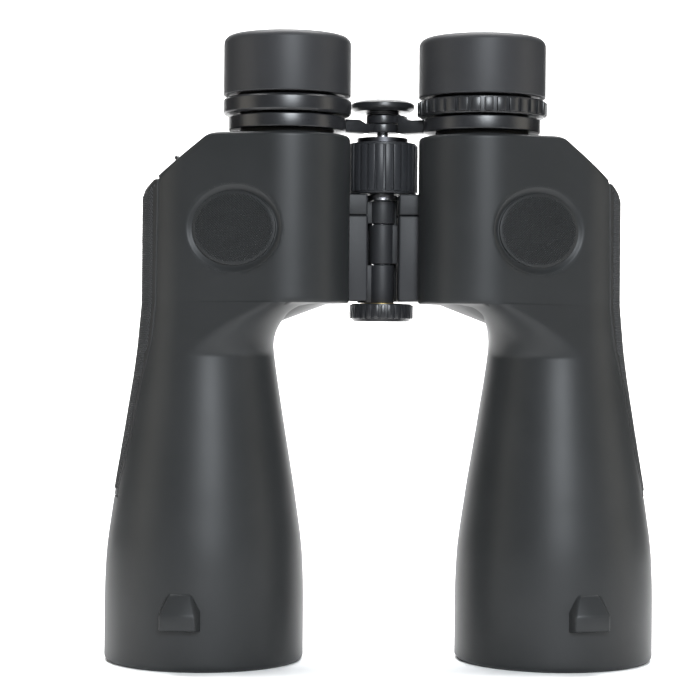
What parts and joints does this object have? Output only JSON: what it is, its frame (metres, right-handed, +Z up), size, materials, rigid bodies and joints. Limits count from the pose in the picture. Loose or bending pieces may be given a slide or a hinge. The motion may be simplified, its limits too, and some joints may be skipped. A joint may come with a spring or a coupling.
{
  "type": "binoculars",
  "caption": "Folding Porro prism binoculars with rubber armour, central focus wheel and bridge, ribbed dioptre ring, twist-up eyecups, tripod socket cover and cap tether tabs.",
  "frame": {"origin": "on the floor under the middle of the overall box, with the binoculars standing on their objective rims", "axes": "+Z up towards the eyepieces along the hinge, +X to the half with the dioptre ring, -Y out of the underside with the thumb rests"},
  "size_m": [0.1846, 0.0706, 0.208],
  "materials": {
    "armour_rubber": "fine grained rubber armour",
    "grip_rubber": "patterned grip rubber",
    "eyecup_rubber": "smooth soft rubber",
    "wheel_rubber": "ribbed hard rubber",
    "casting_paint": "satin black paint over a light casting",
    "bridge_enamel": "satin black enamel",
    "lug_metal": "black lacquered steel wire",
    "satin_black": "satin black moulding",
    "inner_black": "flat black inner parts",
    "wheel_metal": "black anodised hub",
    "spring_steel": "ground steel",
    "socket_brass": "turned brass",
    "coated_glass": "polished lens with a faint violet green coating",
    "prism_glass": "polished prism glass"
  },
  "bodies": {
    "left_half": {"left_casting": "casting_paint", "left_barrel": "casting_paint", "left_armour": "armour_rubber", "left_barrel_sleeve": "armour_rubber", "left_grip_panel": "grip_rubber", "left_thumb_pad": "grip_rubber", "left_strap_lug": "lug_metal", "left_rear_cover": "casting_paint", "left_prism_shelf": "inner_black", "left_upper_prism": "prism_glass", "left_lower_prism": "prism_glass", "left_prism_clips": "spring_steel", "left_objective_crown": "coated_glass", "left_objective_flint": "coated_glass", "left_objective_cell": "inner_black", "left_objective_ring": "inner_black", "hinge_axle": "spring_steel", "wheel_clip": "spring_steel", "tripod_socket": "socket_brass"},
    "right_half": {"right_casting": "casting_paint", "right_barrel": "casting_paint", "right_armour": "armour_rubber", "right_barrel_sleeve": "armour_rubber", "right_grip_panel": "grip_rubber", "right_thumb_pad": "grip_rubber", "right_strap_lug": "lug_metal", "right_rear_cover": "casting_paint", "right_prism_shelf": "inner_black", "right_upper_prism": "prism_glass", "right_lower_prism": "prism_glass", "right_prism_clips": "spring_steel", "right_objective_crown": "coated_glass", "right_objective_flint": "coated_glass", "right_objective_cell": "inner_black", "right_objective_ring": "inner_black"},
    "focus_wheel": {"wheel_hub": "wheel_metal", "wheel_grip": "wheel_rubber"},
    "left_ocular": {"left_ocular_barrel": "inner_black", "left_field_lens": "coated_glass", "left_eye_lens": "coated_glass", "left_collar": "satin_black", "left_bridge_arm": "bridge_enamel", "focus_spindle": "spring_steel", "spindle_cap": "satin_black"},
    "left_cup_turn": {"left_cup_cam": "satin_black"},
    "left_cup": {"left_cup_sleeve": "satin_black", "left_eyecup": "eyecup_rubber"},
    "right_bridge": {"right_bridge_arm": "bridge_enamel"},
    "right_dioptre": {"right_dioptre_ring": "satin_black"},
    "right_eyepiece": {"right_ocular_barrel": "inner_black", "right_field_lens": "coated_glass", "right_eye_lens": "coated_glass"},
    "right_cup_turn": {"right_cup_cam": "satin_black"},
    "right_cup": {"right_cup_sleeve": "satin_black", "right_eyecup": "eyecup_rubber"},
    "tripod_cover": {"tripod_cap": "satin_black"}
  },
  "joints": [
    {"name": "interpupillary_fold", "type": "hinge", "parent": "left_half", "child": "right_half", "pos_m": [0, 0.00398, 0.15], "axis": [0, 0, 1], "range_deg": [-30, 36]},
    {"name": "left_ocular_travel", "type": "slide", "parent": "left_half", "child": "left_ocular", "axis": [0, 0, 1], "range_m": [-0.0006, 0.006]},
    {"name": "focus_wheel_turn", "type": "hinge", "parent": "left_half", "child": "focus_wheel", "pos_m": [0, 0.00398, 0.166], "axis": [0, 0, 1], "range_deg": [-37, 361]},
    {"name": "right_ocular_travel", "type": "slide", "parent": "right_half", "child": "right_bridge", "axis": [0, 0, 1], "range_m": [-0.00062, 0.00605]},
    {"name": "dioptre_travel", "type": "slide", "parent": "right_bridge", "child": "right_eyepiece", "axis": [0, 0, 1], "range_m": [-0.0006, 0.0006]},
    {"name": "dioptre_turn", "type": "hinge", "parent": "right_bridge", "child": "right_dioptre", "pos_m": [0.0325, -0.00802, 0.1845], "axis": [0, 0, 1], "range_deg": [-61, 61]},
    {"name": "left_cup_twist", "type": "hinge", "parent": "left_ocular", "child": "left_cup_turn", "pos_m": [-0.0325, -0.00802, 0.196], "axis": [0, 0, 1], "range_deg": [0, 120]},
    {"name": "left_cup_rise", "type": "slide", "parent": "left_cup_turn", "child": "left_cup", "axis": [0, 0, 1], "range_m": [0, 0.0081]},
    {"name": "right_cup_twist", "type": "hinge", "parent": "right_eyepiece", "child": "right_cup_turn", "pos_m": [0.0325, -0.00802, 0.196], "axis": [0, 0, 1], "range_deg": [0, 120]},
    {"name": "right_cup_rise", "type": "slide", "parent": "right_cup_turn", "child": "right_cup", "axis": [0, 0, 1], "range_m": [0, 0.0081]},
    {"name": "tripod_cover_off", "type": "slide", "parent": "left_half", "child": "tripod_cover", "axis": [0, 0, -1], "range_m": [0, 0.012]}
  ],
  "couplings": [
    {"joint": "focus_wheel_turn", "follows": "left_ocular_travel", "rad_per_m": 1047.2},
    {"joint": "right_ocular_travel", "follows": "left_ocular_travel", "ratio": 1},
    {"joint": "dioptre_turn", "follows": "dioptre_travel", "rad_per_m": 1745.3},
    {"joint": "left_cup_rise", "follows": "left_cup_twist", "m_per_rad": 0.0038197},
    {"joint": "right_cup_rise", "follows": "right_cup_twist", "m_per_rad": 0.0038197}
  ]
}
